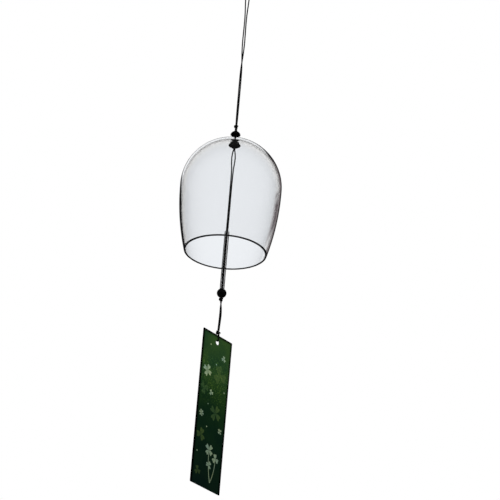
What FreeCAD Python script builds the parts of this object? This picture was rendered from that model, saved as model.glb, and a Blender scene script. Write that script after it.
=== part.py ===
import FreeCAD, Part
import math
import os
import Sketcher

# A glass wind bell on its cord: bell, clapper and paper card, all hanging plumb from one loop
# The origin is where the hook carries the loop, +Z is up and the card faces -Y

doc = FreeCAD.newDocument("wind_bell")

# Driving sizes in millimetres. A share is a part of the size that it is used with
SIZES = {
    # cord and knots
    "cord_diameter": 1,
    "strand_gap": 0.04,
    "knot_turn_radius": 0.95,
    "knot_gap": 0.15,
    "knot_end_length": 3.2,
    "hook_radius": 2.4,
    "hanger_reach": 140,
    # glass bell
    "knot_to_crown": 13.8,
    "bell_diameter": 80,
    "bell_height": 96.5,
    "rim_diameter": 64.6,
    "glass_wall": 1.4,
    "rim_bevel": 0.3,
    "crown_hole": 3.2,
    "lip_width": 1.3,
    "lip_height": 0.8,
    "lip_land_share": 0.4,
    # cap and washers
    "cap_drop": 4.1,
    "cap_diameter": 8,
    "cap_height": 3.4,
    "cap_wall": 0.8,
    "cap_collar": 3,
    "cap_collar_height": 0.5,
    "bore_gap": 0.08,
    "outer_washer_diameter": 7.8,
    "outer_washer_height": 1,
    "washer_bulge": 0.3,
    "inner_washer_diameter": 9.7,
    "inner_washer_height": 1,
    "inner_washer_edge": 0.45,
    "seat_gap": 0.12,
    # clapper
    "clapper_drop": 131.6,
    "strand_parting": 22,
    "tube_diameter": 3.7,
    "tube_bore": 2.4,
    "tube_length": 48.8,
    "tube_end_share": 0.62,
    "bead_diameter": 7.5,
    # tail and card
    "tail_drop": 28.3,
    "loop_drop": 7.9,
    "loop_width": 1.7,
    "card_width": 36,
    "card_height": 124,
    "card_thickness": 0.5,
    "card_corner": 0.6,
    "card_hole": 4,
    "hole_below_edge": 5.9,
    "loop_play": 0.1,
}

sheet = doc.addObject("Spreadsheet::Sheet", "sizes")
for row, (alias, number) in enumerate(SIZES.items(), 1):
    sheet.set(f"A{row}", alias)
    sheet.set(f"B{row}", str(number))
    sheet.setAlias(f"B{row}", alias)
doc.recompute()


def value(expression):
    """The number that an expression on the sheet gives."""
    found = sheet.evalExpression(expression.replace("sizes.", ""))
    return float(getattr(found, "Value", found))


# Derived sizes, each written once from the sheet
STRAND = "(sizes.cord_diameter + sizes.strand_gap) / 2"
PAIR_BORE = f"({STRAND} + sizes.cord_diameter / 2 + sizes.bore_gap)"
KNOT = "(sizes.knot_turn_radius + sizes.cord_diameter / 2)"
KNOT_REACH = f"({KNOT} + sizes.knot_gap)"
BELL = "(sizes.bell_diameter / 2)"
RIM = "(sizes.rim_diameter / 2)"
EQUATOR = f"(sizes.bell_height - {BELL})"
INNER_DOME = f"({BELL} - sizes.glass_wall)"
BEAD = "(sizes.bead_diameter / 2)"
BEAD_HALF = f"sqrt({BEAD} ^ 2 - {PAIR_BORE} ^ 2)"

# Heights along the cord, from the hook down
TOP_KNOT_Z = "-sizes.hanger_reach"
CAP_Z = f"({TOP_KNOT_Z} - sizes.cap_drop - sizes.cap_height)"
CROWN_Z = f"({TOP_KNOT_Z} - sizes.knot_to_crown)"
OUTER_WASHER_Z = f"({CROWN_Z} + sizes.lip_height + sizes.seat_gap)"
RIM_Z = f"({CROWN_Z} - sizes.bell_height)"
DOME_SAG = f"({INNER_DOME} - sqrt({INNER_DOME} ^ 2 - (sizes.inner_washer_diameter / 2) ^ 2))"
INNER_WASHER_TOP = f"({CROWN_Z} - sizes.glass_wall - {DOME_SAG} - sizes.seat_gap)"
INNER_WASHER_Z = f"({INNER_WASHER_TOP} - sizes.inner_washer_height)"
INNER_KNOT_Z = f"({INNER_WASHER_Z} - {KNOT_REACH})"
BEAD_KNOT_Z = f"({INNER_KNOT_Z} - sizes.clapper_drop)"
BEAD_Z = f"({BEAD_KNOT_Z} + {KNOT} + sizes.seat_gap + {BEAD_HALF})"
TUBE_Z = f"({BEAD_Z} + sqrt({BEAD} ^ 2 - (sizes.tube_bore / 2) ^ 2) + sizes.seat_gap)"
CARD_KNOT_Z = f"({BEAD_KNOT_Z} - sizes.tail_drop)"
HOLE_Z = f"({CARD_KNOT_Z} - sizes.loop_drop)"
CARD_TOP_Z = f"({HOLE_Z} + sizes.hole_below_edge)"


def origin_plane(body, role):
    """One of the body's own origin planes."""
    return next(f for f in body.Origin.OriginFeatures if f.Role == role)


def new_body(name, height):
    """A body whose own zero height hangs at the given place on the cord."""
    body = doc.addObject("PartDesign::Body", name)
    body.Label = name
    body.setExpression("Placement.Base.z", height)
    return body


def new_sketch(body, name, role):
    sketch = body.newObject("Sketcher::SketchObject", name)
    sketch.AttachmentSupport = [(origin_plane(body, role), "")]
    sketch.MapMode = "FlatFace"
    return sketch


def pin_corner(sketch, geometry, end, place, name):
    """Tie one end of a line or arc of the sketch to its two named distances from the axes."""
    for axis, expression, label in ((0, place[0], "across"), (1, place[1], "up")):
        if value(expression) == 0:
            sketch.addConstraint(Sketcher.Constraint("PointOnObject", geometry, end, -2 + axis))
            continue
        kind = ("DistanceX", "DistanceY")[axis]
        number = sketch.addConstraint(
            Sketcher.Constraint(kind, -1, 1, geometry, end, value(expression))
        )
        sketch.renameConstraint(number, f"{name}_{label}")
        sketch.setExpression(f"Constraints.{name}_{label}", expression)


def draw_outline(sketch, corners):
    """Draw a closed outline. Each corner is (across, up, radius to the next corner or None).

    A positive radius bulges to the right of the way from this corner to the next one.
    """
    places = [FreeCAD.Vector(value(c[0]), value(c[1]), 0) for c in corners]
    ends = []
    for i, corner in enumerate(corners):
        start, end = places[i], places[(i + 1) % len(places)]
        if corner[2] is None:
            number = sketch.addGeometry(Part.LineSegment(start, end), False)
            ends.append((number, 1, 2))
            continue
        turns_left = not corner[2].startswith("-")
        radius = value(corner[2].lstrip("-"))
        half = (end - start) * (1 / 2)
        rise = math.sqrt(max(radius**2 - half.Length**2, 0))
        left = FreeCAD.Vector(-half.y, half.x, 0).normalize()
        centre = start + half + left * (rise if turns_left else -rise)
        first, last = (start, end) if turns_left else (end, start)
        angles = [math.atan2(p.y - centre.y, p.x - centre.x) for p in (first, last)]
        circle = Part.Circle(centre, FreeCAD.Vector(0, 0, 1), radius)
        number = sketch.addGeometry(Part.ArcOfCircle(circle, angles[0], angles[1]), False)
        ends.append((number, 1, 2) if turns_left else (number, 2, 1))
    for i, (number, start, end) in enumerate(ends):
        after = ends[(i + 1) % len(ends)]
        sketch.addConstraint(Sketcher.Constraint("Coincident", number, end, after[0], after[1]))
        pin_corner(sketch, number, start, corners[i], f"corner{i}")
        if corners[i][2] is not None:
            expression = corners[i][2].lstrip("-")
            limit = sketch.addConstraint(
                Sketcher.Constraint("Radius", number, value(expression))
            )
            sketch.renameConstraint(limit, f"round{i}")
            sketch.setExpression(f"Constraints.round{i}", expression)


def turned(name, height, corners):
    """A turned piece: its half outline revolved round the cord's line."""
    body = new_body(name, height)
    sketch = new_sketch(body, f"{name}_outline", "XZ_Plane")
    draw_outline(sketch, corners)
    doc.recompute()
    turn = body.newObject("PartDesign::Revolution", f"{name}_turned")
    turn.Profile = sketch
    turn.ReferenceAxis = (sketch, ["V_Axis"])
    turn.Angle = 360
    return body


# Cords: straight runs joined by tangent arcs
# Share of the shorter run that a corner's arc may use, and of its radius that counts as a run
RUN_SHARE = 0.45
SHORTEST_SHARE = 0.000001


def route_wire(points, arc_radii=None):
    """A wire through the points, each corner rounded as far as its two runs allow."""
    fixed = arc_radii or {}
    runs = [(b - a).Length for a, b in zip(points, points[1:])]
    edges, radii, at = [], [], points[0]
    for i in range(1, len(points) - 1):
        back = (points[i - 1] - points[i]).normalize()
        on = (points[i + 1] - points[i]).normalize()
        half_turn = (math.pi - back.getAngle(on)) / 2
        radius = fixed.get(i, RUN_SHARE * min(runs[i - 1], runs[i]) / math.tan(half_turn))
        cut = radius * math.tan(half_turn)
        begin, end = points[i] + back * cut, points[i] + on * cut
        towards = (back + on).normalize()
        middle = points[i] + towards * (radius / math.cos(half_turn) - radius)
        if (begin - at).Length > radius * SHORTEST_SHARE:
            edges.append(Part.LineSegment(at, begin).toShape())
            edges.append(Part.Arc(begin, middle, end).toShape())
        else:
            edges.append(Part.Arc(at, middle, end).toShape())
        radii.append(radius)
        at = end
    edges.append(Part.LineSegment(at, points[-1]).toShape())
    return Part.Wire(edges), radii


def cord_tube(label, points, arc_radii=None):
    """A cord's solid along its route, with its tightest bends and volume printed."""
    thick = value("sizes.cord_diameter")
    wire, radii = route_wire(points, arc_radii)
    section = Part.Wire([Part.Circle(points[0], points[1] - points[0], thick / 2).toShape()])
    tube = wire.makePipeShell([section], True, False)
    expected = math.pi * thick**2 / 4 * wire.Length
    shown = ", ".join(f"{r:.1f}" for r in radii)
    print(f"{label}: length {wire.Length:.1f} mm, bend radii {shown or 'none'} mm")
    if abs(tube.Volume - expected) > 0.01 * expected:
        raise RuntimeError(f"{label}: volume {tube.Volume:.3f}, section times length {expected:.3f}")
    return tube


def keep_shape(name, shape, height):
    """A cord's node, which hangs at the given height."""
    feature = doc.addObject("Part::Feature", name)
    feature.Label = name
    feature.Shape = shape
    feature.Placement = FreeCAD.Placement(
        FreeCAD.Vector(0, 0, value(height)), FreeCAD.Rotation()
    )
    return feature


def strand_route(shares, length, start=0):
    """Points along a strand from shares of the cord's thickness, sideways, and of a length, down."""
    thick = value("sizes.cord_diameter")
    return [FreeCAD.Vector(x * thick, y * thick, start - z * length) for x, y, z in shares]


def other_side(points):
    """The second strand of a pair: the first one turned half round the pair's line."""
    return [FreeCAD.Vector(-p.x, -p.y, p.z) for p in points]


# Hanger cord: one cord over the hook, its two strands crossing once on the way down
# Shares of the cord's thickness across and towards the back, and of the reach
HANGER_ROUTE_SHARES = [
    (-1.7, 0.1, 0.18),
    (-0.56, -0.12, 0.28),
    (-0.62, 0.05, 0.36),
    (-1.35, -0.1, 0.43),
    (-1.1, -0.3, 0.53),
    (0.0, -0.65, 0.63),
    (0.65, -0.2, 0.75),
    (0.525, 0.0, 0.89),
]


def hanger_cord():
    reach = value("sizes.hanger_reach")
    loop = value("sizes.hook_radius + sizes.cord_diameter / 2")
    top = value("sizes.cord_diameter / 2")
    strand = strand_route(HANGER_ROUTE_SHARES, reach)
    foot = FreeCAD.Vector(strand[-1].x, strand[-1].y, value(KNOT_REACH) - reach)
    left = [FreeCAD.Vector(-loop, 0, top)] + strand + [foot]
    right = other_side(left)
    points = left[::-1] + right
    over_hook = {len(left) - 1: loop, len(left): loop}
    return keep_shape("hanger_cord", cord_tube("hanger_cord", points, over_hook), "0")


# Knots: three turns of the cord drawn tight on each other, lying askew on the cord
# Shares of the knot's radius across, up, and round to the next corner
KNOT_OUTLINE_SHARES = [
    (0, -0.756, None),
    (0.407, -0.756, 0.31),
    (0.74, -0.28, 0.285),
    (0.74, 0.28, 0.31),
    (0.407, 0.756, None),
    (0, 0.756, None),
]
# Tip and turn of each knot in degrees
KNOT_ANGLES = {
    "top_knot": (24, 35),
    "inner_knot": (10, -20),
    "bead_knot": (18, 60),
    "card_knot": (-20, 15),
}


def knot(name, height, turns_name=None):
    corners = [
        tuple(share if share is None else f"{KNOT} * {share}" for share in corner)
        for corner in KNOT_OUTLINE_SHARES
    ]
    body = turned(turns_name or name, height, corners)
    tip, turn = KNOT_ANGLES[name]
    body.Placement.Rotation = FreeCAD.Rotation(turn, 0, tip)
    return body


# Lift above level and turn round the cord, in degrees, of the last knot's two cut ends
CUT_END_ANGLES = ((24, 8), (10, 196))


def knot_with_ends(name, height):
    """The last knot, with the cord's two cut ends standing out of it."""
    pieces = [knot(name, height, f"{name}_turns")]
    for i, (lift, turn) in enumerate(CUT_END_ANGLES):
        end = doc.addObject("Part::Cylinder", f"{name}_end{i}")
        end.setExpression("Radius", "sizes.cord_diameter / 2")
        end.setExpression("Height", "sizes.knot_end_length")
        end.Placement.Rotation = FreeCAD.Rotation(turn, 90 - lift, 0)
        end.setExpression("Placement.Base.z", height)
        pieces.append(end)
    whole = doc.addObject("Part::MultiFuse", name)
    whole.Label = name
    whole.Shapes = pieces
    return whole


# Core cord: the pair of strands through cap, washers and glass
def core_cord():
    top = value(f"-({KNOT_REACH})")
    foot = value(f"{INNER_KNOT_Z} + {KNOT_REACH} - ({TOP_KNOT_Z})")
    side = value(STRAND)
    pair = [
        cord_tube("core_cord", [FreeCAD.Vector(x, 0, top), FreeCAD.Vector(x, 0, foot)])
        for x in (-side, side)
    ]
    return keep_shape("core_cord", Part.makeCompound(pair), TOP_KNOT_Z)


# Cap: a thin rubber umbrella with a collar that grips the cord
def cap():
    rim = "(sizes.cap_diameter / 2)"
    shoulder = "(sizes.cap_height - sizes.cap_collar_height)"
    collar = "(sizes.cap_collar / 2)"
    dome = f"(({rim} ^ 2 + {shoulder} ^ 2) / (2 * {shoulder}))"
    inner_rim = f"({rim} - sizes.cap_wall)"
    inner_rise = f"({shoulder} - sizes.cap_wall)"
    inner_dome = f"(({inner_rim} ^ 2 + {inner_rise} ^ 2) / (2 * {inner_rise}))"
    collar_foot = f"({shoulder} - {dome} + sqrt({dome} ^ 2 - {collar} ^ 2))"
    bore_foot = f"({inner_rise} - {inner_dome} + sqrt({inner_dome} ^ 2 - {PAIR_BORE} ^ 2))"
    corners = [
        (inner_rim, "0", None),
        (rim, "0", dome),
        (collar, collar_foot, None),
        (collar, "sizes.cap_height", None),
        (PAIR_BORE, "sizes.cap_height", None),
        (PAIR_BORE, bore_foot, f"-{inner_dome}"),
    ]
    return turned("cap", CAP_Z, corners)


# Outer washer: a flat rubber disc with a soft edge, on the raised lip of the hole
def outer_washer():
    face = "(sizes.outer_washer_diameter / 2 - sizes.washer_bulge)"
    edge = "((sizes.outer_washer_height ^ 2 / 4 + sizes.washer_bulge ^ 2) / (2 * sizes.washer_bulge))"
    corners = [
        (PAIR_BORE, "0", None),
        (face, "0", edge),
        (face, "sizes.outer_washer_height", None),
        (PAIR_BORE, "sizes.outer_washer_height", None),
    ]
    return turned("outer_washer", OUTER_WASHER_Z, corners)


# Glass bell: a half ball drawn in towards the cut rim, one even wall, and a pierced crown
def glass_bell():
    flank = (
        f"((({EQUATOR} - sizes.rim_bevel) ^ 2 + ({BELL} - {RIM}) ^ 2)"
        f" / (2 * ({BELL} - {RIM})))"
    )
    hole = "(sizes.crown_hole / 2)"
    lip = f"({hole} + sizes.lip_width)"
    land = f"({hole} + sizes.lip_width * sizes.lip_land_share)"
    lip_top = "(sizes.bell_height + sizes.lip_height)"
    corners = [
        (f"{RIM} - sizes.glass_wall + sizes.rim_bevel", "0", None),
        (f"{RIM} - sizes.rim_bevel", "0", None),
        (RIM, "sizes.rim_bevel", flank),
        (BELL, EQUATOR, BELL),
        (lip, f"{EQUATOR} + sqrt({BELL} ^ 2 - {lip} ^ 2)", None),
        (land, lip_top, None),
        (hole, lip_top, None),
        (hole, f"{EQUATOR} + sqrt({INNER_DOME} ^ 2 - {hole} ^ 2)", f"-{INNER_DOME}"),
        (INNER_DOME, EQUATOR, f"-{flank}"),
        (f"{RIM} - sizes.glass_wall", "sizes.rim_bevel", None),
    ]
    return turned("glass_bell", RIM_Z, corners)


# Inner washer: a wider disc, level on top and crowned below, against the glass
def inner_washer():
    edge = "(sizes.inner_washer_diameter / 2)"
    rise = "(sizes.inner_washer_height - sizes.inner_washer_edge)"
    crown = f"((({edge} - {PAIR_BORE}) ^ 2 + {rise} ^ 2) / (2 * {rise}))"
    corners = [
        (PAIR_BORE, "0", crown),
        (edge, rise, None),
        (edge, "sizes.inner_washer_height", None),
        (PAIR_BORE, "sizes.inner_washer_height", None),
    ]
    return turned("inner_washer", INNER_WASHER_Z, corners)


# Clapper cord: two strands that part under the knot and run side by side to the bead's knot
# Shares of the cord's thickness sideways, and of the parting's length
CLAPPER_ROUTE_SHARES = [
    (-0.525, 0.0, 0.0),
    (-1.7, -0.25, 0.3),
    (-1.35, 0.1, 0.64),
    (-0.525, 0.0, 1.0),
]


def clapper_cord():
    top = value(f"-({KNOT_REACH})")
    strand = strand_route(CLAPPER_ROUTE_SHARES, value("sizes.strand_parting"), top)
    foot = value(f"{KNOT_REACH} - sizes.clapper_drop")
    strand.append(FreeCAD.Vector(strand[-1].x, strand[-1].y, foot))
    pair = [
        cord_tube("clapper_cord", points) for points in (strand, other_side(strand))
    ]
    return keep_shape("clapper_cord", Part.makeCompound(pair), INNER_KNOT_Z)


# Clapper tube: cut from glass tubing, both ends fire polished
def clapper_tube():
    bore = "(sizes.tube_bore / 2)"
    outside = "(sizes.tube_diameter / 2)"
    end_round = f"(({outside} - {bore}) * sizes.tube_end_share)"
    dip = f"({end_round} - sqrt({end_round} ^ 2 - (({outside} - {bore}) / 2) ^ 2))"
    corners = [
        (bore, dip, end_round),
        (outside, dip, None),
        (outside, f"sizes.tube_length - {dip}", end_round),
        (bore, f"sizes.tube_length - {dip}", None),
    ]
    return turned("clapper_tube", TUBE_Z, corners)


# Bead: a drilled ball
def bead():
    corners = [
        (PAIR_BORE, f"{BEAD} - {BEAD_HALF}", BEAD),
        (PAIR_BORE, f"{BEAD} + {BEAD_HALF}", None),
    ]
    return turned("bead", f"{BEAD_Z} - {BEAD}", corners)


# Tail cord: a short pair of strands that cross once below the bead
# Shares of the cord's thickness sideways, and of the free length
TAIL_ROUTE_SHARES = [
    (-0.53, 0.0, 0.0),
    (-0.3, -0.75, 0.2),
    (0.6, -0.6, 0.42),
    (0.75, 0.1, 0.7),
    (0.53, 0.0, 1.0),
]


def tail_cord():
    top = value(f"-({KNOT_REACH})")
    free = value(f"sizes.tail_drop - 2 * {KNOT_REACH}")
    strand = strand_route(TAIL_ROUTE_SHARES, free, top)
    pair = [cord_tube("tail_cord", points) for points in (strand, other_side(strand))]
    return keep_shape("tail_cord", Part.makeCompound(pair), BEAD_KNOT_Z)


# Card loop: one bight of the cord through the card's hole, a strand on each face
def card_loop():
    side = value("sizes.loop_width / 2")
    top = value(f"-({KNOT_REACH})")
    bend = value("-sizes.loop_drop + sizes.card_hole / 2 + sizes.loop_play") - side
    left = [FreeCAD.Vector(0, -side, top), FreeCAD.Vector(0, -side, bend)]
    points = left + other_side(left)[::-1]
    tube = cord_tube("card_loop", points, {1: side, 2: side})
    return keep_shape("card_loop", tube, CARD_KNOT_Z)


# Card: stiff paper with clipped corners and one punched hole
def tanzaku():
    body = new_body("tanzaku", f"{CARD_TOP_Z} - sizes.card_height")
    sketch = new_sketch(body, "card_outline", "XZ_Plane")
    half = "(sizes.card_width / 2)"
    inset = f"({half} - sizes.card_corner)"
    top = "sizes.card_height"
    corners = [
        (f"-{inset}", "0", None),
        (inset, "0", "sizes.card_corner"),
        (half, "sizes.card_corner", None),
        (half, f"{top} - sizes.card_corner", "sizes.card_corner"),
        (inset, top, None),
        (f"-{inset}", top, "sizes.card_corner"),
        (f"-{half}", f"{top} - sizes.card_corner", None),
        (f"-{half}", "sizes.card_corner", "sizes.card_corner"),
    ]
    draw_outline(sketch, corners)
    hole = sketch.addGeometry(
        Part.Circle(
            FreeCAD.Vector(0, value(f"{top} - sizes.hole_below_edge"), 0),
            FreeCAD.Vector(0, 0, 1),
            value("sizes.card_hole / 2"),
        ),
        False,
    )
    sketch.addConstraint(Sketcher.Constraint("PointOnObject", hole, 3, -2))
    limits = (
        ("hole_height", ("DistanceY", -1, 1, hole, 3), f"{top} - sizes.hole_below_edge"),
        ("hole_radius", ("Radius", hole), "sizes.card_hole / 2"),
    )
    for name, limit, expression in limits:
        number = sketch.addConstraint(Sketcher.Constraint(*limit, value(expression)))
        sketch.renameConstraint(number, name)
        sketch.setExpression(f"Constraints.{name}", expression)
    doc.recompute()
    pad = body.newObject("PartDesign::Pad", "card_sheet")
    pad.Profile = sketch
    pad.Midplane = True
    pad.setExpression("Length", "sizes.card_thickness")
    return body


nodes = [
    hanger_cord(),
    knot("top_knot", TOP_KNOT_Z),
    core_cord(),
    cap(),
    outer_washer(),
    glass_bell(),
    inner_washer(),
    knot("inner_knot", INNER_KNOT_Z),
    clapper_cord(),
    clapper_tube(),
    bead(),
    knot("bead_knot", BEAD_KNOT_Z),
    tail_cord(),
    knot_with_ends("card_knot", CARD_KNOT_Z),
    card_loop(),
    tanzaku(),
]
doc.recompute()

# Check the whole document before anything is written
for item in doc.Objects:
    if {"Invalid", "Error"} & set(item.State):
        raise RuntimeError(f"{item.Name} failed: {item.State}")
for node in nodes:
    if node.Shape.isNull() or not node.Shape.isValid() or not node.Shape.Solids:
        raise RuntimeError(f"{node.Label} has no valid solid")

os.makedirs("parts", exist_ok=True)
for node in nodes:
    node.Shape.exportStep(f"parts/{node.Label}.step")
    box = node.Shape.BoundBox
    print(
        f"{node.Label}: {len(node.Shape.Solids)} solid, {node.Shape.Volume:.2f} mm3,"
        f" z {box.ZMin:.2f} to {box.ZMax:.2f}"
    )
for name, height in (
    ("top knot", TOP_KNOT_Z),
    ("rim", RIM_Z),
    ("inner knot", INNER_KNOT_Z),
    ("bead knot", BEAD_KNOT_Z),
    ("card knot", CARD_KNOT_Z),
    ("card hole", HOLE_Z),
):
    print(f"{name} at z {value(height):.3f}")
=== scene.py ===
import math

import bmesh
import bpy
from mathutils import Matrix, Vector


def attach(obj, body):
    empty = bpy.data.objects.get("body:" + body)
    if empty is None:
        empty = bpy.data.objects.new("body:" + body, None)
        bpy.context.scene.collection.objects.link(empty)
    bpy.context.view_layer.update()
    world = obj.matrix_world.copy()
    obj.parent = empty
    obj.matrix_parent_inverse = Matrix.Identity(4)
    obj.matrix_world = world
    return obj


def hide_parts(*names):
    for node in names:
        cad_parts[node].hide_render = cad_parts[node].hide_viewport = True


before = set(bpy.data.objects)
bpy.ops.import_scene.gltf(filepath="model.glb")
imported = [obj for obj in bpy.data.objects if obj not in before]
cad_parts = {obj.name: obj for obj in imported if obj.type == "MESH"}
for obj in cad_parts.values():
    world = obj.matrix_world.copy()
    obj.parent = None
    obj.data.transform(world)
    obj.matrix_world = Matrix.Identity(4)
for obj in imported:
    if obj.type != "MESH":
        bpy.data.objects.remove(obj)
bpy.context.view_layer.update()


# Hanging cord: one length of thin black polyester cord, 1 mm thick and doubled.
# Its strands run side by side out of the top knot, open a little where they cross,
# and meet in the loop that goes over the hook at the origin.
CORD_THICKNESS = 0.001
HANGER_STRAND = [
    (0.000525, 0, -0.1384),
    (0.00032, -0.000385, -0.1305),
    (0.00032, -0.000385, -0.112),
    (0.00032, -0.00042, -0.098),
    (-0.00004, -0.00058, -0.0885),
    (-0.00052, -0.00034, -0.081),
    (-0.00068, 0.00018, -0.0735),
    (-0.00066, 0.00062, -0.064),
    (-0.00042, 0.00052, -0.0504),
    (-0.0004, 0.00048, -0.0392),
    (-0.00112, 0.00088, -0.0252),
    (-0.00275, 0.0002, -0.0066),
    (-0.0028, 0, -0.0014),
    (-0.0013, 0, 0.0005),
]
# the cord's blacks along the plaits' height: the darker grooves and lighter crowns are painted shade
CORD_BLACKS_GROOVE_SHADED = [(0.2, (0.0008, 0.0008, 0.0009)), (0.75, (0.003, 0.003, 0.0034)), (1, (0.008, 0.008, 0.009))]
PLAIT_SLANT = 52
PLAIT_SCALE = 620
PLAIT_RELIEF = 0.00006
FLUFF_SCALE = 900
FLUFF_SHARE = 0.5


def finish(name):
    """A new material with its shader, as (material, nodes, links, shader)."""
    made = bpy.data.materials.new(name)
    made.use_nodes = True
    nodes, links = made.node_tree.nodes, made.node_tree.links
    return made, nodes, links, nodes["Principled BSDF"]


def node(nodes, kind, **settings):
    """A new shader node. A setting named like a socket fills the socket, and any other the node."""
    made = nodes.new("ShaderNode" + kind)
    for name, value in settings.items():
        if name in made.inputs:
            made.inputs[name].default_value = value
        else:
            setattr(made, name, value)
    return made


def fill(links, socket, value):
    """Feeds a socket from another node's output, or sets it to a plain value."""
    if isinstance(value, bpy.types.NodeSocket):
        links.new(value, socket)
    else:
        socket.default_value = value


def math_node(nodes, links, operation, *values):
    """The result of a sum on sockets or plain numbers."""
    made = node(nodes, "Math", operation=operation)
    for socket, value in zip(made.inputs, values):
        fill(links, socket, value)
    return made.outputs[0]


def mixed(nodes, links, share, first, second, blend="MIX"):
    """Two colours blended by a share, each a socket or a plain value."""
    made = node(nodes, "Mix", data_type="RGBA", blend_type=blend)
    for name, value in (("Factor", share), ("A", first), ("B", second)):
        fill(links, made.inputs[name], value)
    return made.outputs["Result"]


def shaded(nodes, links, value, stops, smooth=True):
    """The colour that a value has on a ramp with a (place, colour) for each stop."""
    made = node(nodes, "ValToRGB")
    band = made.color_ramp
    band.interpolation = "EASE" if smooth else "LINEAR"
    while len(band.elements) < len(stops):
        band.elements.new(1)
    for element, (place, colour) in zip(band.elements, stops):
        element.position = place
        element.color = (*colour, 1)
    links.new(value, made.inputs["Fac"])
    return made.outputs["Color"]


def grain(nodes, links, scale, detail):
    """Fine unevenness that is fixed to the piece, from 0 to 1."""
    place = node(nodes, "TexCoord")
    made = node(nodes, "TexNoise", Scale=scale, Detail=detail)
    links.new(place.outputs["Object"], made.inputs["Vector"])
    return made.outputs["Fac"]


def raise_by(nodes, links, shader, height, strength, depth):
    """Lets the shader's surface rise and fall with a height."""
    made = node(nodes, "Bump", Strength=strength, Distance=depth)
    links.new(height, made.inputs["Height"])
    links.new(made.outputs["Normal"], shader.inputs["Normal"])


def cord_finish():
    """Black braided polyester: fine crossing plaits, painted shade in their grooves, a dull sheen and a
    little grey fluff.
    """
    made, nodes, links, shader = finish("black_cord")
    place = node(nodes, "TexCoord")
    plaits = []
    for slant in (PLAIT_SLANT, -PLAIT_SLANT):
        turned = node(nodes, "Mapping")
        turned.inputs["Rotation"].default_value = (0, math.radians(slant), 0)
        wave = node(nodes, "TexWave", wave_type="BANDS", bands_direction="X", Distortion=0.6)
        wave.inputs["Scale"].default_value = PLAIT_SCALE
        links.new(place.outputs["Object"], turned.inputs["Vector"])
        links.new(turned.outputs["Vector"], wave.inputs["Vector"])
        plaits.append(wave.outputs["Fac"])
    over = math_node(nodes, links, "MAXIMUM", *plaits)
    fluff = grain(nodes, links, scale=FLUFF_SCALE, detail=3)
    # painted shade: the black is darker in the grooves between the plaits and lighter on their crowns
    black = shaded(nodes, links, over, CORD_BLACKS_GROOVE_SHADED)
    links.new(mixed(nodes, links, FLUFF_SHARE, black, fluff, "MULTIPLY"), shader.inputs["Base Color"])
    raise_by(nodes, links, shader, over, strength=0.5, depth=PLAIT_RELIEF)
    shader.inputs["Roughness"].default_value = 0.8
    shader.inputs["Specular IOR Level"].default_value = 0.12
    return made


def strand(name, points, body, closed=False, thickness=CORD_THICKNESS):
    """A round strand of cord along the points, in black_cord, that rides on a body."""
    curve = bpy.data.curves.new(name, "CURVE")
    curve.dimensions = "3D"
    curve.resolution_u = 10
    curve.bevel_depth = thickness / 2
    curve.bevel_resolution = 5
    curve.use_fill_caps = True
    spline = curve.splines.new("NURBS")
    spline.points.add(len(points) - 1)
    for at, point in zip(spline.points, points):
        at.co = (*point, 1)
    spline.order_u = 3
    spline.use_endpoint_u = not closed
    spline.use_cyclic_u = closed
    curve.materials.append(black_cord)
    made = bpy.data.objects.new(name, curve)
    bpy.context.scene.collection.objects.link(made)
    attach(made, body)
    return made


black_cord = cord_finish()
up = HANGER_STRAND
down = [(-x, -y, z) for x, y, z in reversed(HANGER_STRAND)]
hanger = strand("hanging_strands", up + down, "hanger")
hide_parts("hanger_cord")


# Top knot: the doubled cord tied over itself, pulled tight above the cap.
# The glass hangs on it: it stops the cap's collar from sliding up the cord.
TOP_KNOT_HEIGHT = -0.14
KNOT_SIZE = 0.0015
KNOT_CORD = 0.00108
KNOT_REACH_SHARE = 0.31
KNOT_DEPTH_SHARE = 1.3
KNOT_TURN_SHARES = [
    # size and lift of each of the two cords in a knot, as shares of the knot's size
    (1, -0.075), (0.8, 0.09),
]
KNOT_POINTS = 24


def tight_knot(name, height, body, lean, turn):
    """Both cords tied over themselves in one knot, as two closed strands, leaning and turned in degrees."""
    lean, turn = math.radians(lean), math.radians(turn)
    leaning = Vector((math.sin(lean) * math.cos(turn), math.sin(lean) * math.sin(turn), math.cos(lean)))
    tilt = Vector((0, 0, 1)).rotation_difference(leaning)
    tied = []
    for number, (grow, lift) in enumerate(KNOT_TURN_SHARES, 1):
        points = []
        for step in range(KNOT_POINTS):
            angle = 2 * math.pi * step / KNOT_POINTS
            along = Vector((
                math.sin(angle) + 2 * math.sin(2 * angle),
                math.cos(angle) - 2 * math.cos(2 * angle),
                -KNOT_DEPTH_SHARE * math.sin(3 * angle),
            )) * KNOT_SIZE * grow * KNOT_REACH_SHARE
            along.rotate(tilt)
            points.append((along.x, along.y, height + along.z + lift * KNOT_SIZE))
        tied.append(strand(f"{name}_{number}", points, body, closed=True, thickness=KNOT_CORD))
    return tied


for piece in tight_knot("top_knot_turns", TOP_KNOT_HEIGHT, "top_knot", lean=24, turn=35):
    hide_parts("top_knot")


# Core cord: the same two strands going on down through the cap, the washers and the glass.
# They show between the cap and the outer washer.
CORE_HEIGHTS = (-0.1416, -0.1462, -0.1516, -0.15663)
CORE_SHIFT = (0.00032, -0.000385)
for side, name in ((-1, "left"), (1, "right")):
    points = [(side * CORE_SHIFT[0], side * CORE_SHIFT[1], height) for height in CORE_HEIGHTS]
    core = strand(f"core_strand_{name}", points, "stack")
    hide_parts("core_cord")


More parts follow.
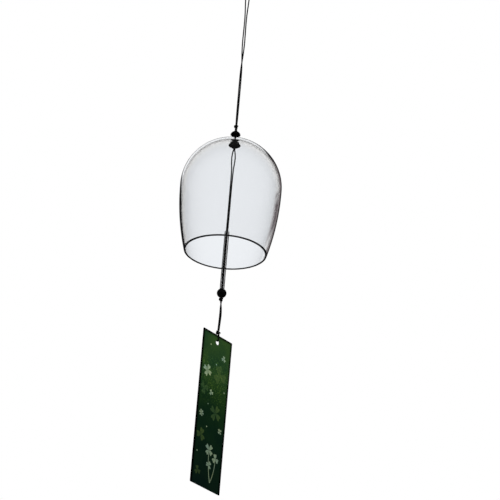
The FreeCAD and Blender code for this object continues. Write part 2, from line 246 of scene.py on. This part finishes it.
# Cap: a little umbrella of black moulded rubber, 8 mm across, whose collar grips the cord.
# It keeps rain off the hole in the glass, and is thin enough at its edge to flex.
CORD_BORE = 0.0011
CAP_OUTLINE = [
    (CORD_BORE, -0.1441), (0.00138, -0.1441), (0.0015, -0.14418), (0.0015, -0.14452),
    (0.0017, -0.14468), (0.0023, -0.14492), (0.0029, -0.14535), (0.0034, -0.14592),
    (0.00374, -0.14655), (0.00396, -0.14722), (0.004, -0.14742), (0.00392, -0.1475),
    (0.0034, -0.1475), (0.00322, -0.14742), (0.00312, -0.14705), (0.0028, -0.14642),
    (0.0023, -0.14592), (0.0017, -0.14562), (CORD_BORE, -0.1455),
]
RUBBER_BLACKS = [(0.3, (0.0015, 0.0015, 0.0017)), (0.7, (0.005, 0.005, 0.0053))]
RUBBER_DULLNESS = {"To Min": 0.5, "To Max": 0.68}
RUBBER_GRAIN = 0.00002


def turned_piece(name, outline, body, material, around=96, smooth_below=40):
    """A piece turned about the cord's line from an outline of (radius, height) points, on a body."""
    mesh = bpy.data.meshes.new(name)
    verts, faces = [], []
    for step in range(around):
        angle = 2 * math.pi * step / around
        verts += [(radius * math.cos(angle), radius * math.sin(angle), height) for radius, height in outline]
    count = len(outline)
    for step in range(around):
        here, there = step * count, (step + 1) % around * count
        for point in range(count):
            after = (point + 1) % count
            faces.append((here + point, here + after, there + after, there + point))
    mesh.from_pydata(verts, [], faces)
    shape = bmesh.new()
    shape.from_mesh(mesh)
    bmesh.ops.recalc_face_normals(shape, faces=shape.faces)
    shape.to_mesh(mesh)
    shape.free()
    mesh.materials.append(material)
    mesh.polygons.foreach_set("use_smooth", [True] * len(mesh.polygons))
    mesh.set_sharp_from_angle(angle=math.radians(smooth_below))
    made = bpy.data.objects.new(name, mesh)
    bpy.context.scene.collection.objects.link(made)
    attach(made, body)
    return made


def ranged(nodes, links, value, limits):
    """A value moved from one range to another, each range given by its least and greatest value."""
    made = node(nodes, "MapRange", **limits)
    links.new(value, made.inputs["Value"])
    return made.outputs["Result"]


def rubber_finish():
    """Black moulded rubber: nearly matt, with faint mottling and a fine grain."""
    made, nodes, links, shader = finish("black_rubber")
    cloud = grain(nodes, links, scale=420, detail=2)
    links.new(shaded(nodes, links, cloud, RUBBER_BLACKS), shader.inputs["Base Color"])
    links.new(ranged(nodes, links, cloud, RUBBER_DULLNESS), shader.inputs["Roughness"])
    fine = grain(nodes, links, scale=2600, detail=4)
    raise_by(nodes, links, shader, fine, strength=0.25, depth=RUBBER_GRAIN)
    shader.inputs["Specular IOR Level"].default_value = 0.15
    return made


black_rubber = rubber_finish()
cap = turned_piece("cap_umbrella", CAP_OUTLINE, "stack", black_rubber)
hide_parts("cap")


# Outer washer: a soft black ring on the raised lip of the glass.
# The knot under the glass pulls it down, so that its edge bulges.
WASHER_THICKNESS = 0.001
OUTER_WASHER_RADIUS = 0.0039
OUTER_WASHER_UNDERSIDE = -0.15288
OUTER_WASHER_BULGE = 0.0003


def ring_outline(outside, underside, bulge):
    """A washer's section: flat faces and an edge that bulges by the length given."""
    half = WASHER_THICKNESS / 2
    middle = underside + half
    turns = [math.radians(angle) for angle in range(-90, 91, 15)]
    edge = [(outside - bulge + bulge * math.cos(turn), middle + half * math.sin(turn)) for turn in turns]
    return [(CORD_BORE, underside), *edge, (CORD_BORE, underside + WASHER_THICKNESS)]


outer_outline = ring_outline(OUTER_WASHER_RADIUS, OUTER_WASHER_UNDERSIDE, OUTER_WASHER_BULGE)
outer = turned_piece("outer_washer_ring", outer_outline, "stack", black_rubber)
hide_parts("outer_washer")


# Glass bell: clear glass blown freehand, 80 mm across and 1.4 mm thick, with a round dome.
# Its walls draw in to the cut rim, whose edge is ground dull and painted near-black as painted shade,
# and its crown has a raised lip round the hole for the cord.
BELL_RADIUS = 0.04
BELL_WALL = 0.0014
EQUATOR = -0.1938
RIM = -0.2503
RIM_RADIUS = 0.0323
RIM_BEVEL = 0.0003
GROUND_EDGE = 0.0008
CROWN_HOLE = 0.0016
LIP_WIDTH = 0.0013
LIP_OUTLINE = [
    # radius and height, up over the lip and into the hole
    (0.0027, -0.1536), (0.0024, -0.15318), (0.0021, -0.153), (0.0018, -0.153), (CROWN_HOLE, -0.1532),
]
WALL_STEPS = 40
DOME_STEPS = 60
GLASS_TINT = (0.6, 0.75, 0.8)
BELL_TINT_DEPTH = 8
GLASS_SWELL = 0.0004
# painted shade: the rim's ground edge is coloured near-black for the dark line the rim shows
RIM_PAINTED_SHADE_GREYS = [(0.35, (0.003, 0.003, 0.0034)), (0.7, (0.016, 0.017, 0.018))]
GROUND_GRIT = 0.00003


def wall_radius(height, inset=0.0):
    """The bell's radius at a height, inset into its wall by a length."""
    if height > EQUATOR:
        return math.sqrt(max((BELL_RADIUS - inset) ** 2 - (height - EQUATOR) ** 2, 0))
    drop, draw = EQUATOR - RIM, BELL_RADIUS - RIM_RADIUS
    sweep = (drop ** 2 + draw ** 2) / (2 * draw)
    return BELL_RADIUS - inset - (sweep - math.sqrt(sweep ** 2 - (height - EQUATOR) ** 2))


def dome_arc(radius, hole):
    """Up a dome of the radius given from the equator to a hole in its crown."""
    end = math.pi / 2 - math.asin(hole / radius)
    turns = [end * step / DOME_STEPS for step in range(1, DOME_STEPS + 1)]
    return [(radius * math.cos(turn), EQUATOR + radius * math.sin(turn)) for turn in turns]


def bell_outline():
    """Up the outside from the rim, over the lip, and down the inside to the rim's ground edge."""
    heights = [RIM + RIM_BEVEL, RIM + GROUND_EDGE]
    heights += [RIM + (EQUATOR - RIM) * step / WALL_STEPS for step in range(1, WALL_STEPS + 1)]
    outside = [(wall_radius(height), height) for height in heights]
    inside = [(wall_radius(height, BELL_WALL), height) for height in heights]
    outside += dome_arc(BELL_RADIUS, CROWN_HOLE + LIP_WIDTH)
    inside += dome_arc(BELL_RADIUS - BELL_WALL, CROWN_HOLE)
    rim = [(wall_radius(RIM, BELL_WALL - RIM_BEVEL), RIM), (wall_radius(RIM, RIM_BEVEL), RIM)]
    return outside + LIP_OUTLINE + inside[::-1] + rim


def glass_finish(name, tint_depth):
    """Clear glass: hand-made unevenness and a faint body colour that grows with the depth of glass."""
    made, nodes, links, shader = finish(name)
    swell = grain(nodes, links, scale=38, detail=1)
    raise_by(nodes, links, shader, swell, strength=0.12, depth=GLASS_SWELL)
    shader.inputs["Base Color"].default_value = (1, 1, 1, 1)
    shader.inputs["Transmission Weight"].default_value = 1
    shader.inputs["Roughness"].default_value = 0
    shader.inputs["IOR"].default_value = 1.5
    body = node(nodes, "VolumeAbsorption", Color=(*GLASS_TINT, 1), Density=tint_depth)
    links.new(body.outputs["Volume"], nodes["Material Output"].inputs["Volume"])
    return made


def ground_rim_painted_shade_finish():
    """The rim's ground edge: glass left dull by the stone, with a fine grit, and painted near-black as shade.
    """
    made, nodes, links, shader = finish("ground_rim_painted_shade")
    grit = grain(nodes, links, scale=1800, detail=4)
    links.new(shaded(nodes, links, grit, RIM_PAINTED_SHADE_GREYS), shader.inputs["Base Color"])
    raise_by(nodes, links, shader, grit, strength=0.4, depth=GROUND_GRIT)
    shader.inputs["Roughness"].default_value = 0.55
    shader.inputs["Specular IOR Level"].default_value = 0.1
    return made


clear_glass = glass_finish("clear_glass", BELL_TINT_DEPTH)
bell = turned_piece("blown_bell", bell_outline(), "bell", clear_glass, around=256, smooth_below=50)
# painted shade: the faces of the rim's ground edge take the near-black material
bell.data.materials.append(ground_rim_painted_shade_finish())
for face in bell.data.polygons:
    if face.center.z < RIM + GROUND_EDGE:
        face.material_index = 1
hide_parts("glass_bell")


# Inner washer: a wider soft black ring that the inner knot pulls up under the crown.
# It and the outer washer hold the glass between them without touching its hole.
INNER_WASHER_RADIUS = 0.00485
INNER_WASHER_UNDERSIDE = -0.15663
INNER_WASHER_BULGE = 0.00045
inner_outline = ring_outline(INNER_WASHER_RADIUS, INNER_WASHER_UNDERSIDE, INNER_WASHER_BULGE)
inner = turned_piece("inner_washer_ring", inner_outline, "stack", black_rubber)
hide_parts("inner_washer")


# Inner knot: the cord tied under the inner washer, which carries the glass.
# The clapper's two strands come out of it.
INNER_KNOT_HEIGHT = -0.158226
for piece in tight_knot("inner_knot_turns", INNER_KNOT_HEIGHT, "inner_knot", lean=10, turn=-20):
    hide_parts("inner_knot")


# Clapper cord: two strands down the middle of the bell and through the tube and the bead.
# They part a little just under the inner knot, then lie side by side, and lean to one
# side of the tube.
CLAPPER_STRAND = [
    # one strand's place from the middle of the two, its height, and how far both lean to the left
    (-0.000525, 0, -0.15983, 0),
    (-0.00115, 0.00095, -0.1652, 0),
    (-0.0008, 0.00094, -0.1724, 0),
    (-0.00032, 0.00039, -0.1791, 0),
    (-0.00032, 0.000385, -0.205, 0),
    (-0.00032, 0.000385, -0.228, 0),
    (-0.00032, 0.000385, -0.236, 0.00009),
    (-0.00032, 0.000385, -0.266, 0.00009),
    (-0.00032, 0.000385, -0.2725, 0.00003),
    (-0.00035, 0.00036, -0.2795, 0),
    (-0.0004, 0.00032, -0.2836, 0),
    (-0.000525, 0, -0.28823, 0),
]
LEFTWARD = (-0.629, 0.777)


def side_by_side(points, side):
    """The places of the left strand of two, which is side 1, or of its fellow, which is side -1."""
    return [(side * x + lean * LEFTWARD[0], side * y + lean * LEFTWARD[1], z) for x, y, z, lean in points]


for side, name in ((1, "left"), (-1, "right")):
    run = strand(f"clapper_strand_{name}", side_by_side(CLAPPER_STRAND, side), "clapper")
    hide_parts("clapper_cord")


# Clapper: a clear glass tube threaded on the cord, its ends melted round in a flame.
# It stands on the bead and rings the bell's wall as the card swings.
TUBE_BORE = 0.0012
TUBE_RADIUS = 0.00185
TUBE_FOOT = -0.281
TUBE_HEAD = -0.2322
TUBE_STEPS = 40
TUBE_TINT_DEPTH = 20


def tube_outline():
    """The tube's section, with rounded ends."""
    middle, half = (TUBE_BORE + TUBE_RADIUS) / 2, (TUBE_RADIUS - TUBE_BORE) / 2
    turns = [math.radians(angle) for angle in range(-90, 91, 15)]
    foot = [(middle + half * math.sin(turn), TUBE_FOOT + half - half * math.cos(turn)) for turn in turns]
    head = [(radius, TUBE_FOOT + TUBE_HEAD - height) for radius, height in reversed(foot)]
    straight = TUBE_HEAD - TUBE_FOOT - 2 * half
    heights = [TUBE_FOOT + half + straight * step / TUBE_STEPS for step in range(1, TUBE_STEPS)]
    outside = [(TUBE_RADIUS, height) for height in heights]
    inside = [(TUBE_BORE, height) for height in reversed(heights)]
    return foot + outside + head + inside


tube_glass = glass_finish("tube_glass", TUBE_TINT_DEPTH)
tube = turned_piece("clapper_glass", tube_outline(), "tube", tube_glass, around=64)
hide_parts("clapper_tube")


# Bead: a round bead of glossy black plastic, 7.5 mm across, with a drilled bore.
# The tube stands on it, and the knot under it keeps both on the cord.
BEAD_RADIUS = 0.00375
BEAD_HEIGHT = -0.284671
BEAD_MOUTH = 0.00018
BEAD_MOUTH_DEPTH = 0.00012
BEAD_STEPS = 48
BEAD_BLACKS = [(0.35, (0.001, 0.001, 0.001)), (0.75, (0.003, 0.003, 0.0032))]
BEAD_SHINE = {"From Min": 0.35, "From Max": 0.7, "To Min": 0.12, "To Max": 0.3}


def bead_outline():
    """A ball's section with a bore and softened edges at its ends."""
    end = math.asin((CORD_BORE + BEAD_MOUTH) / BEAD_RADIUS)
    turns = [end + (math.pi - 2 * end) * step / BEAD_STEPS for step in range(BEAD_STEPS + 1)]
    skin = [(BEAD_RADIUS * math.sin(turn), BEAD_HEIGHT - BEAD_RADIUS * math.cos(turn)) for turn in turns]
    half = math.sqrt(BEAD_RADIUS ** 2 - CORD_BORE ** 2) - BEAD_MOUTH_DEPTH
    return [(CORD_BORE, BEAD_HEIGHT - half), *skin, (CORD_BORE, BEAD_HEIGHT + half)]


def bead_finish():
    """Glossy black moulded plastic with a faint clouding and a few fine rubs."""
    made, nodes, links, shader = finish("black_bead")
    cloud = grain(nodes, links, scale=300, detail=3)
    rubs = grain(nodes, links, scale=1500, detail=6)
    links.new(shaded(nodes, links, cloud, BEAD_BLACKS), shader.inputs["Base Color"])
    links.new(ranged(nodes, links, rubs, BEAD_SHINE), shader.inputs["Roughness"])
    shader.inputs["Specular IOR Level"].default_value = 0.12
    return made


bead = turned_piece("black_bead_ball", bead_outline(), "bead", bead_finish(), around=72)
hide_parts("bead")


# Bead knot: the clapper cord tied under the bead.
# Everything below hangs on it.
BEAD_KNOT_HEIGHT = -0.289826
for piece in tight_knot("bead_knot_turns", BEAD_KNOT_HEIGHT, "bead_knot", lean=18, turn=60):
    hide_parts("bead_knot")


# Tail cord: the same two strands, a little kinked, down to the card's knot.
# It lets the card swing and turn on its own.
TAIL_STRAND = [
    # as for the clapper cord
    (-0.00053, 0, -0.29143, 0),
    (-0.00018, -0.00048, -0.2952, -0.0002),
    (0.00022, -0.00046, -0.30195, -0.00055),
    (0.00044, -0.00024, -0.309, -0.0003),
    (0.00053, 0, -0.31653, 0),
]
for side, name in ((1, "left"), (-1, "right")):
    run = strand(f"tail_strand_{name}", side_by_side(TAIL_STRAND, side), "tail")
    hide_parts("tail_cord")


# Card knot: the last knot, with the cord's two cut and singed ends standing out of it.
# It closes the small loop that goes through the card.
CARD_KNOT_HEIGHT = -0.318126
CUT_END_THICKNESS = 0.00105
CUT_END_POINTS = [
    # how far a point is out from the knot's middle, and how far above the end's straight line
    (0.0004, 0), (0.0014, 0.0001), (0.0024, 0), (0.0032, -0.0002),
]
for piece in tight_knot("card_knot_turns", CARD_KNOT_HEIGHT, "card_knot", lean=20, turn=15):
    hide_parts("card_knot")
for name, lift, turn in (("right", 24, 8), ("left", 10, 196)):
    lift, turn = math.radians(lift), math.radians(turn)
    way = Vector((math.cos(lift) * math.cos(turn), math.cos(lift) * math.sin(turn), math.sin(lift)))
    points = [tuple(way * out + Vector((0, 0, CARD_KNOT_HEIGHT + above))) for out, above in CUT_END_POINTS]
    strand(f"cut_end_{name}", points, "card_knot", thickness=CUT_END_THICKNESS)


# Card loop: the doubled cord through the card's hole and back up into the knot.
# It is what the card swings on.
LOOP_REACH = 0.00085
LOOP_HEIGHTS = [-0.31973, -0.3229, -0.32478]
front = [(0, LOOP_REACH, height) for height in LOOP_HEIGHTS]
rear = [(0, -LOOP_REACH, height) for height in reversed(LOOP_HEIGHTS)]
loop = strand("card_loop_strand", front + rear, "card_loop")
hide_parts("card_loop")


# Card: a strip of thin printed card, 36 by 124 mm, that catches the wind.
# A round hole near its top edge takes the cord; the print is of clover leaves on dark green.
CARD_TOP = -0.32013
CARD_FOOT = -0.44413
CLOVERS = {
    # place across and up in metres, radius, leaves (0 gives a dot), turn in degrees
    "dark": [
        (0.0062, -0.3512, 0.0080, 3, 12), (-0.0112, -0.3672, 0.0050, 3, -20),
        (0.0046, -0.3826, 0.0068, 4, 30), (-0.0104, -0.4042, 0.0054, 3, 48),
        (-0.0108, -0.4330, 0.0038, 3, 15),
    ],
    "pale": [
        (-0.0092, -0.3520, 0.0052, 4, 22), (0.0092, -0.3366, 0.0027, 3, 40), (-0.0024, -0.3680, 0.0025, 3, 5),
        (0.0118, -0.3950, 0.0025, 4, 50), (-0.0120, -0.3876, 0.0029, 6, 10),
        (0.0010, -0.4132, 0.0050, 4, 40), (0.0092, -0.4180, 0.0041, 3, 20), (0.0022, -0.4250, 0.0034, 3, 65),
        (-0.0076, -0.3302, 0.0008, 0, 0), (0.0010, -0.3440, 0.0008, 0, 0), (0.0132, -0.3630, 0.0008, 0, 0),
        (-0.0050, -0.3780, 0.0007, 0, 0), (-0.0044, -0.3962, 0.0008, 0, 0), (-0.0132, -0.4182, 0.0008, 0, 0),
    ],
}
STEMS = [
    # top of the stem across and up in metres, length, bend
    (0.0010, -0.4160, 0.0225, 7.5), (0.0092, -0.4200, 0.0185, -13.0), (0.0022, -0.4262, 0.0118, 22.0),
]
INKS = {
    # the ink at the card's top and at its foot
    "dark": ((0.042, 0.08, 0.02, 1), (0.018, 0.034, 0.011, 1)),
    "pale": ((0.26, 0.33, 0.21, 1), (0.12, 0.17, 0.125, 1)),
}
CARD_GREENS = [
    # from the top down
    (0, (0.0173, 0.049, 0.0135)), (0.25, (0.0125, 0.04, 0.01)), (0.4, (0.0052, 0.0225, 0.0052)),
    (0.6, (0.002, 0.0133, 0.005)), (1, (0.0014, 0.0074, 0.005)),
]
BLACK, WHITE = (0, 0, 0), (1, 1, 1)
SPECK_GREENS = [(0.58, BLACK), (0.68, (0.04, 0.075, 0.012))]
SPECK_BAND = [(0.08, BLACK), (0.2, WHITE), (0.36, WHITE), (0.5, BLACK)]
CLOUD_GREENS = [(0.32, (0.62, 0.8, 1.0)), (0.68, (1.35, 1.2, 0.9))]
TOP_TO_FOOT = {"From Min": CARD_TOP, "From Max": CARD_FOOT, "To Min": 0, "To Max": 1}
WORN_INK = {"From Min": 0.3, "From Max": 0.6, "To Min": 0.55, "To Max": 1}
# painted shade: the card's colour is darkened near its sides and its top edge
PAINTED_SHADE_SIDES = {"From Min": 0.0153, "From Max": 0.017, "To Min": 1, "To Max": 0.06}
PAINTED_SHADE_TOP = {"From Min": -0.3209, "From Max": -0.3226, "To Min": 0.06, "To Max": 1}
LEAF_EDGE_MOST = 2.25
PRINT_BLUR = 0.00022
RIB_WIDTH = 0.00026
RIB_SHADE = 0.35
STEM_BLUR = 0.0002
PAPER_GRAIN = 0.00003


def clover_mask(work, across, height, x, z, radius, leaves, turn):
    """1 on a clover of heart-shaped leaves with a fine midrib each, and 0 off it."""
    dx, dz = work("SUBTRACT", across, x), work("SUBTRACT", height, z)
    reach = work("POWER", work("ADD", work("MULTIPLY", dx, dx), work("MULTIPLY", dz, dz)), 0.5)
    bearing = work("ADD", work("ARCTAN2", dz, dx), math.radians(turn))
    angle = work("MULTIPLY", bearing, float(leaves))
    lobe = work("COSINE", angle)
    edge = work("SUBTRACT", work("ADD", lobe, 2.0), work("MULTIPLY", lobe, lobe))
    inside = work("SUBTRACT", work("MULTIPLY", edge, radius / LEAF_EDGE_MOST), reach)
    mask = work("MULTIPLY", inside, 1 / PRINT_BLUR)
    mask.node.use_clamp = True
    if leaves < 3:
        return mask
    off_rib = work("MULTIPLY", reach, work("ABSOLUTE", work("SINE", work("MULTIPLY", angle, 0.5))))
    rib = work("MULTIPLY_ADD", off_rib, 2 / leaves / RIB_WIDTH, RIB_SHADE)
    rib.node.use_clamp = True
    return work("MULTIPLY", mask, rib)


def stem_mask(work, across, height, x, z, length, bend):
    """1 on a thin stem that bends as it goes down, and 0 off it."""
    below = work("SUBTRACT", z, height)
    line = work("MULTIPLY_ADD", work("MULTIPLY", below, below), bend, x)
    off = work("ABSOLUTE", work("SUBTRACT", across, line))
    on = work("MULTIPLY_ADD", off, -1 / STEM_BLUR, 2.0)
    on.node.use_clamp = True
    within = work("MULTIPLY", work("GREATER_THAN", below, 0.0), work("LESS_THAN", below, length))
    return work("MULTIPLY", on, within)


def card_finish():
    """Printed card: dark green that deepens downwards, clovers in paler ink, paper grain, and painted shade
    on its edges.
    """
    made, nodes, links, shader = finish("card")

    def work(operation, *values):
        return math_node(nodes, links, operation, *values)

    place = node(nodes, "TexCoord")
    apart = node(nodes, "SeparateXYZ")
    links.new(place.outputs["Object"], apart.inputs["Vector"])
    across, height = apart.outputs["X"], apart.outputs["Z"]
    down_card = ranged(nodes, links, height, TOP_TO_FOOT)
    printed = shaded(nodes, links, down_card, CARD_GREENS, smooth=False)
    thin_ink = ranged(nodes, links, grain(nodes, links, scale=900, detail=4), WORN_INK)
    for name, clovers in CLOVERS.items():
        whole = 0.0
        for clover in clovers:
            whole = work("MAXIMUM", clover_mask(work, across, height, *clover), whole)
        if name == "pale":
            for stem in STEMS:
                whole = work("MAXIMUM", stem_mask(work, across, height, *stem), whole)
        ink = mixed(nodes, links, down_card, *INKS[name])
        printed = mixed(nodes, links, work("MULTIPLY", whole, thin_ink), printed, ink)
    specks = shaded(nodes, links, grain(nodes, links, scale=1300, detail=2), SPECK_GREENS)
    band = shaded(nodes, links, down_card, SPECK_BAND)
    dusted = mixed(nodes, links, band, printed, specks, "ADD")
    # painted shade: darkens the colour towards the card's sides and top edge
    side_shade = ranged(nodes, links, work("ABSOLUTE", across), PAINTED_SHADE_SIDES)
    top_shade = ranged(nodes, links, height, PAINTED_SHADE_TOP)
    shade_edged = node(nodes, "VectorMath", operation="SCALE")
    links.new(dusted, shade_edged.inputs[0])
    links.new(work("MULTIPLY", side_shade, top_shade), shade_edged.inputs["Scale"])
    clouds = shaded(nodes, links, grain(nodes, links, scale=48, detail=5), CLOUD_GREENS)
    links.new(mixed(nodes, links, 1, shade_edged.outputs[0], clouds, "MULTIPLY"), shader.inputs["Base Color"])
    fibres = grain(nodes, links, scale=2400, detail=3)
    raise_by(nodes, links, shader, fibres, strength=0.2, depth=PAPER_GRAIN)
    shader.inputs["Roughness"].default_value = 0.62
    shader.inputs["Specular IOR Level"].default_value = 0.02
    return made


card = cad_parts["tanzaku"]
card.data.materials.clear()
card.data.materials.append(card_finish())


# Studio: a pale floor far under the bell, white all round, and two soft lamps.
# The glass mirrors a dark room with one bright side over the crown, which draws its dark
# and its faint edges. A grey post is seen only through glass, bent at the right of the bell.
AHEAD = (0.7083, 0.5736, 0.4115)
RIGHT = (0.629, -0.777, 0)
OVERHEAD = (-0.32, -0.259, 0.911)
OVER_LEFT = (-0.556, 0.094, 0.826)
ROOM_DARK = (0.01, 0.01, 0.011)
ROOM_BRIGHT = (0.95, 0.96, 0.98)
WALL_GREY = (0.22, 0.19, 0.195)
POST_GREY = (0.26, 0.22, 0.235)
GLASS_HAZE = (0.93, 0.955, 0.99)
EDGE_LIGHT = (1.3, 1.3, 1.3)
ROOM_STOPS = [(0.17, ROOM_DARK), (0.24, ROOM_BRIGHT)]
WALL_STOPS = [(0.3, BLACK), (0.4, WALL_GREY), (0.6, WALL_GREY), (0.72, BLACK)]
POST_WIDTH_STOPS = [(0.1, BLACK), (0.135, WHITE), (0.26, WHITE), (0.42, BLACK)]
POST_HEIGHT_STOPS = [(0.3, BLACK), (0.44, WHITE), (0.66, WHITE), (0.78, BLACK)]
HAZE_STOPS = [
    (0.0, GLASS_HAZE), (0.84, GLASS_HAZE), (0.93, EDGE_LIGHT), (0.988, EDGE_LIGHT), (0.996, GLASS_HAZE),
]
UPPER_ROOM = {"From Min": 0.03, "From Max": 0.1}
POST_LEVELS = {"From Min": -0.05, "From Max": 0.05}
MIRRORED_AHEAD = {"From Min": 0.8, "From Max": 0.88, "To Min": 0.04, "To Max": 1}
FLOOR_HEIGHT = -1.35
FLOOR_RADIUS = 9
FLOOR_PALE = (0.9, 0.9, 0.9, 1)
FLOOR_MIRRORED = (0.02, 0.02, 0.022, 1)
FLOOR_GLOW_SHARE = 0.88
LAMPS = [
    # name, place, width, power
    ("key_lamp", (-2.2, -1.6, 1.6), 1.6, 20),
    ("fill_lamp", (1.8, -2.0, 0.4), 1.4, 8),
]
LAMPS_AIM = Vector((0, 0, -0.25))


def ways_of_light(nodes, links):
    """For a ray, 1 or 0: mirrored on its way, seen straight or through glass, and seen through glass."""
    path = node(nodes, "LightPath")
    through = path.outputs["Is Transmission Ray"]
    mirrored = math_node(nodes, links, "GREATER_THAN", path.outputs["Glossy Depth"], 0.5)
    seen = math_node(nodes, links, "MAXIMUM", path.outputs["Is Camera Ray"], through)
    return mirrored, seen, through


def either(nodes, links, share, first, second):
    """The first shader, or the second one by the share given."""
    made = node(nodes, "MixShader")
    for socket, value in zip(made.inputs, (share, first, second)):
        links.new(value, socket)
    return made.outputs["Shader"]


def light_all_round():
    """The world: white as it is seen, the dark room where it is mirrored, and hazy through glass."""
    made = bpy.data.worlds.new("studio")
    made.use_nodes = True
    nodes, links = made.node_tree.nodes, made.node_tree.links
    nodes.clear()
    mirrored, seen, through = ways_of_light(nodes, links)
    place = node(nodes, "TexCoord")

    def towards(way):
        dot = node(nodes, "VectorMath", operation="DOT_PRODUCT")
        dot.inputs[1].default_value = way
        links.new(place.outputs["Generated"], dot.inputs[0])
        return dot.outputs["Value"]

    def glowing(colour, strength=1.0):
        made = node(nodes, "Background")
        fill(links, made.inputs["Color"], colour)
        fill(links, made.inputs["Strength"], strength)
        return made.outputs["Background"]

    ahead, to_right, overhead = towards(AHEAD), towards(RIGHT), towards(OVERHEAD)
    room = shaded(nodes, links, towards(OVER_LEFT), ROOM_STOPS, smooth=False)
    upper = ranged(nodes, links, overhead, UPPER_ROOM)
    high_room = mixed(nodes, links, upper, (*ROOM_DARK, 1), room)
    wall = shaded(nodes, links, to_right, WALL_STOPS, smooth=False)
    mirrored_strength = ranged(nodes, links, ahead, MIRRORED_AHEAD)
    dim = glowing(mixed(nodes, links, 1, high_room, wall, "ADD"), mirrored_strength)
    haze = shaded(nodes, links, ahead, HAZE_STOPS, smooth=False)
    post_width = shaded(nodes, links, to_right, POST_WIDTH_STOPS, smooth=False)
    level = ranged(nodes, links, overhead, POST_LEVELS)
    post_height = shaded(nodes, links, level, POST_HEIGHT_STOPS, smooth=False)
    post = math_node(nodes, links, "MULTIPLY", post_width, post_height)
    hazy = glowing(mixed(nodes, links, post, haze, (*POST_GREY, 1)))
    white = glowing((*WHITE, 1))
    direct = either(nodes, links, seen, white, either(nodes, links, through, white, hazy))
    out = node(nodes, "OutputWorld")
    links.new(either(nodes, links, mirrored, direct, dim), out.inputs["Surface"])
    return made


def floor_finish():
    """Pale matt floor that glows a little where it is seen, and is dark where it is mirrored."""
    made, nodes, links, shader = finish("pale_floor")
    shader.inputs["Base Color"].default_value = FLOOR_PALE
    shader.inputs["Roughness"].default_value = 0.9
    mirrored, seen, _ = ways_of_light(nodes, links)
    glow = node(nodes, "Emission", Strength=1.0)
    share = math_node(nodes, links, "MULTIPLY", seen, FLOOR_GLOW_SHARE)
    pale = either(nodes, links, share, shader.outputs["BSDF"], glow.outputs["Emission"])
    dark = node(nodes, "BsdfDiffuse", Color=FLOOR_MIRRORED)
    whole = either(nodes, links, mirrored, pale, dark.outputs["BSDF"])
    links.new(whole, nodes["Material Output"].inputs["Surface"])
    return made


bpy.context.scene.world = light_all_round()
floor_mesh = bpy.data.meshes.new("floor")
shape = bmesh.new()
bmesh.ops.create_circle(shape, cap_ends=True, radius=FLOOR_RADIUS, segments=96)
bmesh.ops.translate(shape, verts=shape.verts, vec=(0, 0, FLOOR_HEIGHT))
shape.to_mesh(floor_mesh)
shape.free()
floor = bpy.data.objects.new("floor", floor_mesh)
bpy.context.scene.collection.objects.link(floor)
floor_mesh.materials.append(floor_finish())
for name, place, width, power in LAMPS:
    lamp = bpy.data.lights.new(name, "AREA")
    lamp.shape, lamp.size, lamp.energy = "DISK", width, power
    made = bpy.data.objects.new(name, lamp)
    bpy.context.scene.collection.objects.link(made)
    made.location = place
    made.visible_glossy = made.visible_transmission = False
    made.rotation_euler = (LAMPS_AIM - Vector(place)).to_track_quat("-Z", "Y").to_euler()


# Camera: below the bell and looking up at it, as the photograph was taken.
# It is turned a little about its own line, so that the bell leans as it does there.
AZIMUTH, ELEVATION, ROLL = math.radians(-51), math.radians(-24.3), math.radians(5)
DISTANCE = 2.06
SENSOR_WIDTH = 36
PICTURE_PIXELS = 500
# how many pixels a metre takes at a metre's distance
LENS_PIXELS = 2650
# where the middle of the rim is, in pixels across and down
RIM_SEEN_AT = (225.2, 252.77)
back = Vector((
    math.sin(AZIMUTH) * math.cos(ELEVATION),
    -math.cos(AZIMUTH) * math.cos(ELEVATION),
    math.sin(ELEVATION),
))
lens = bpy.data.cameras.new("camera")
lens.sensor_width = SENSOR_WIDTH
lens.lens = LENS_PIXELS * SENSOR_WIDTH / PICTURE_PIXELS
lens.clip_start, lens.clip_end = 0.05, 40
camera = bpy.data.objects.new("camera", lens)
bpy.context.scene.collection.objects.link(camera)
across = Vector((0, 0, 1)).cross(back).normalized()
upward = back.cross(across)
right = across * math.cos(ROLL) + upward * math.sin(ROLL)
top = upward * math.cos(ROLL) - across * math.sin(ROLL)
rim = Vector((0, 0, RIM))
eye = rim + back * DISTANCE
off_right, off_top = PICTURE_PIXELS / 2 - RIM_SEEN_AT[0], RIM_SEEN_AT[1] - PICTURE_PIXELS / 2
aim = rim + (right * off_right + top * off_top) * DISTANCE / LENS_PIXELS
behind = (eye - aim).normalized()
right = top.cross(behind).normalized()
top = behind.cross(right)
camera.matrix_world = Matrix((
    (right.x, top.x, behind.x, eye.x),
    (right.y, top.y, behind.y, eye.y),
    (right.z, top.z, behind.z, eye.z),
    (0, 0, 0, 1),
))
bpy.context.scene.camera = camera
bpy.context.scene.view_settings.view_transform = "Standard"
